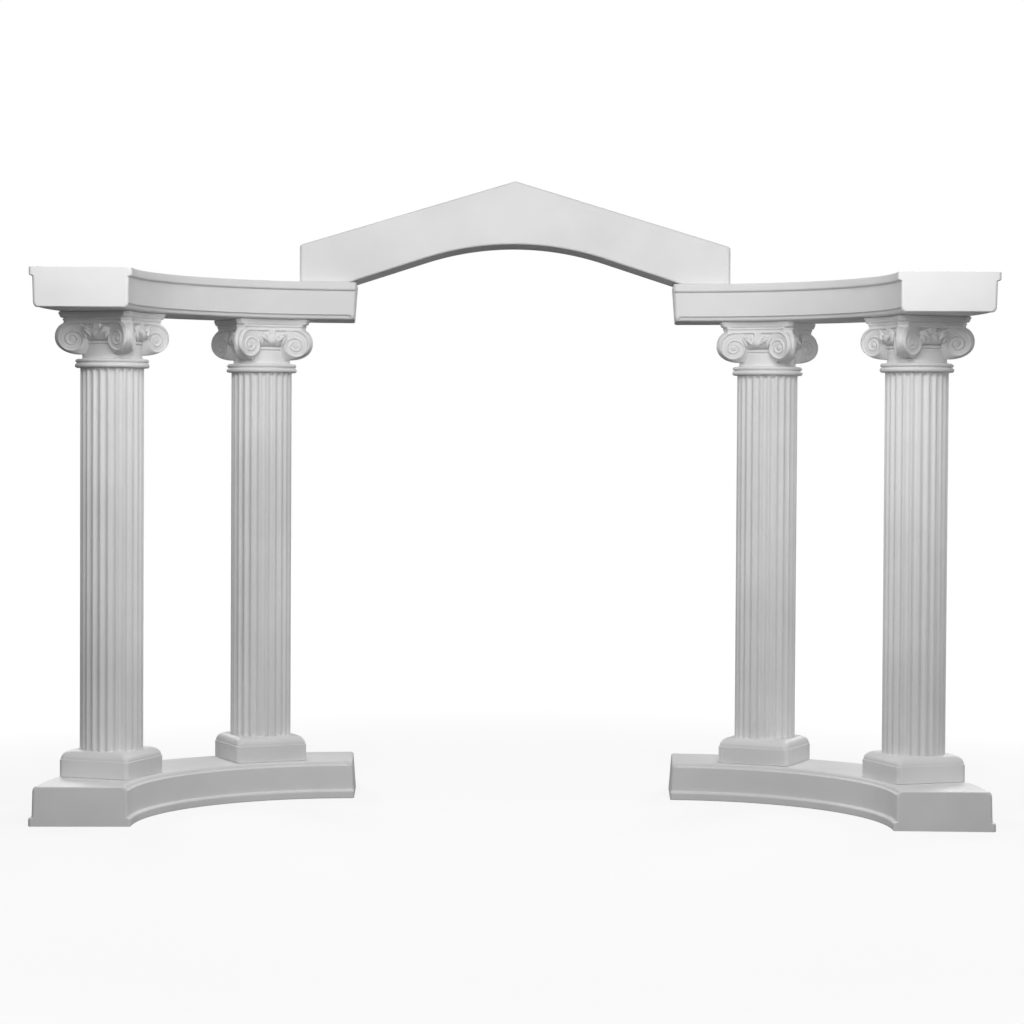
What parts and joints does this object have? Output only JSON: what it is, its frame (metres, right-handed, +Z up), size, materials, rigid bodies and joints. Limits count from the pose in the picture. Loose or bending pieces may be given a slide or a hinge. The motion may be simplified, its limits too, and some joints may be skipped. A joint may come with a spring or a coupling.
{
  "type": "colonnade",
  "caption": "Free-standing white plastic colonnade: curved base trays carry fluted columns with scrolled capitals, curved headers and a pitched pediment over a walkway.",
  "frame": {"origin": "on the floor, at the centre of the plan box", "axes": "+X along the length, +Y from the open hollow front to the back, +Z up"},
  "size_m": [3.698, 1.2722, 2.5566],
  "materials": {
    "white_polyethylene": "satin as-moulded"
  },
  "bodies": {
    "root": {"left_base": "white_polyethylene", "right_base": "white_polyethylene", "left_header": "white_polyethylene", "right_header": "white_polyethylene", "pediment": "white_polyethylene", "left_outer_plinth": "white_polyethylene", "left_outer_shaft": "white_polyethylene", "left_outer_collar": "white_polyethylene", "left_outer_capital": "white_polyethylene", "left_inner_plinth": "white_polyethylene", "left_inner_shaft": "white_polyethylene", "left_inner_collar": "white_polyethylene", "left_inner_capital": "white_polyethylene", "right_outer_plinth": "white_polyethylene", "right_outer_shaft": "white_polyethylene", "right_outer_collar": "white_polyethylene", "right_outer_capital": "white_polyethylene", "right_inner_plinth": "white_polyethylene", "right_inner_shaft": "white_polyethylene", "right_inner_collar": "white_polyethylene", "right_inner_capital": "white_polyethylene"}
  },
  "joints": []
}
